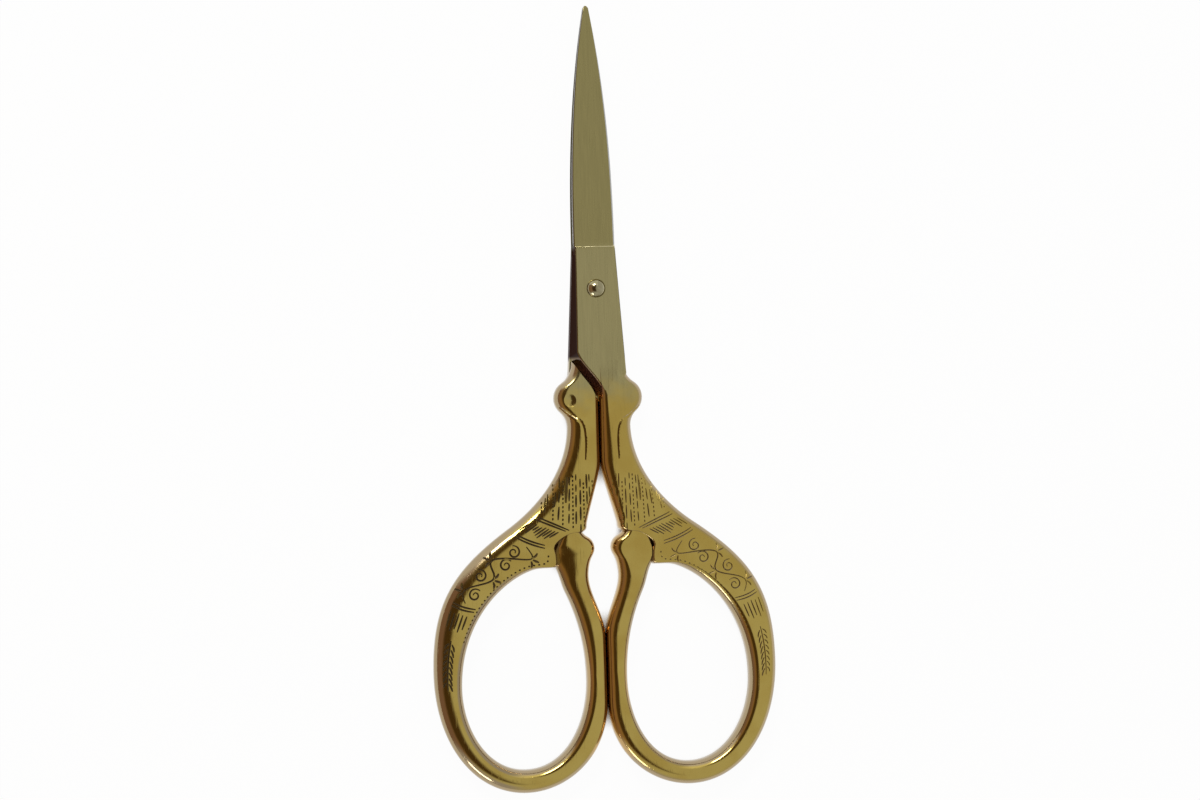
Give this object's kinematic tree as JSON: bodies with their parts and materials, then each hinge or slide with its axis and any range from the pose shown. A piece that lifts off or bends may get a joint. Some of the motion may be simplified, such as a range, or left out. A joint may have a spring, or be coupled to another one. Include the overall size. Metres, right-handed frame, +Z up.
{
  "type": "embroidery scissors",
  "caption": "Small embroidery scissors with slim pointed steel blades, a domed pivot screw and gilded, engraved handles ending in egg-shaped finger bows.",
  "frame": {"origin": "on the pivot axis, in the plane of the surface the closed scissors lie on", "axes": "+Y along the blades towards the tips, +Z up through the pivot to the screw's head, +X towards the front half's finger bow"},
  "size_m": [0.045, 0.1017, 0.0041],
  "materials": {
    "gilded_steel": "polished gold plating on the handle, satin steel on the blade",
    "screw_steel": "polished"
  },
  "bodies": {
    "rear": {"rear_half": "gilded_steel", "pivot_screw": "screw_steel"},
    "front": {"front_half": "gilded_steel"}
  },
  "joints": [
    {"name": "blade_pivot", "type": "hinge", "parent": "rear", "child": "front", "pos_m": [0, 0, 0.00175], "axis": [0, 0, 1], "range_deg": [0, 90]}
  ]
}
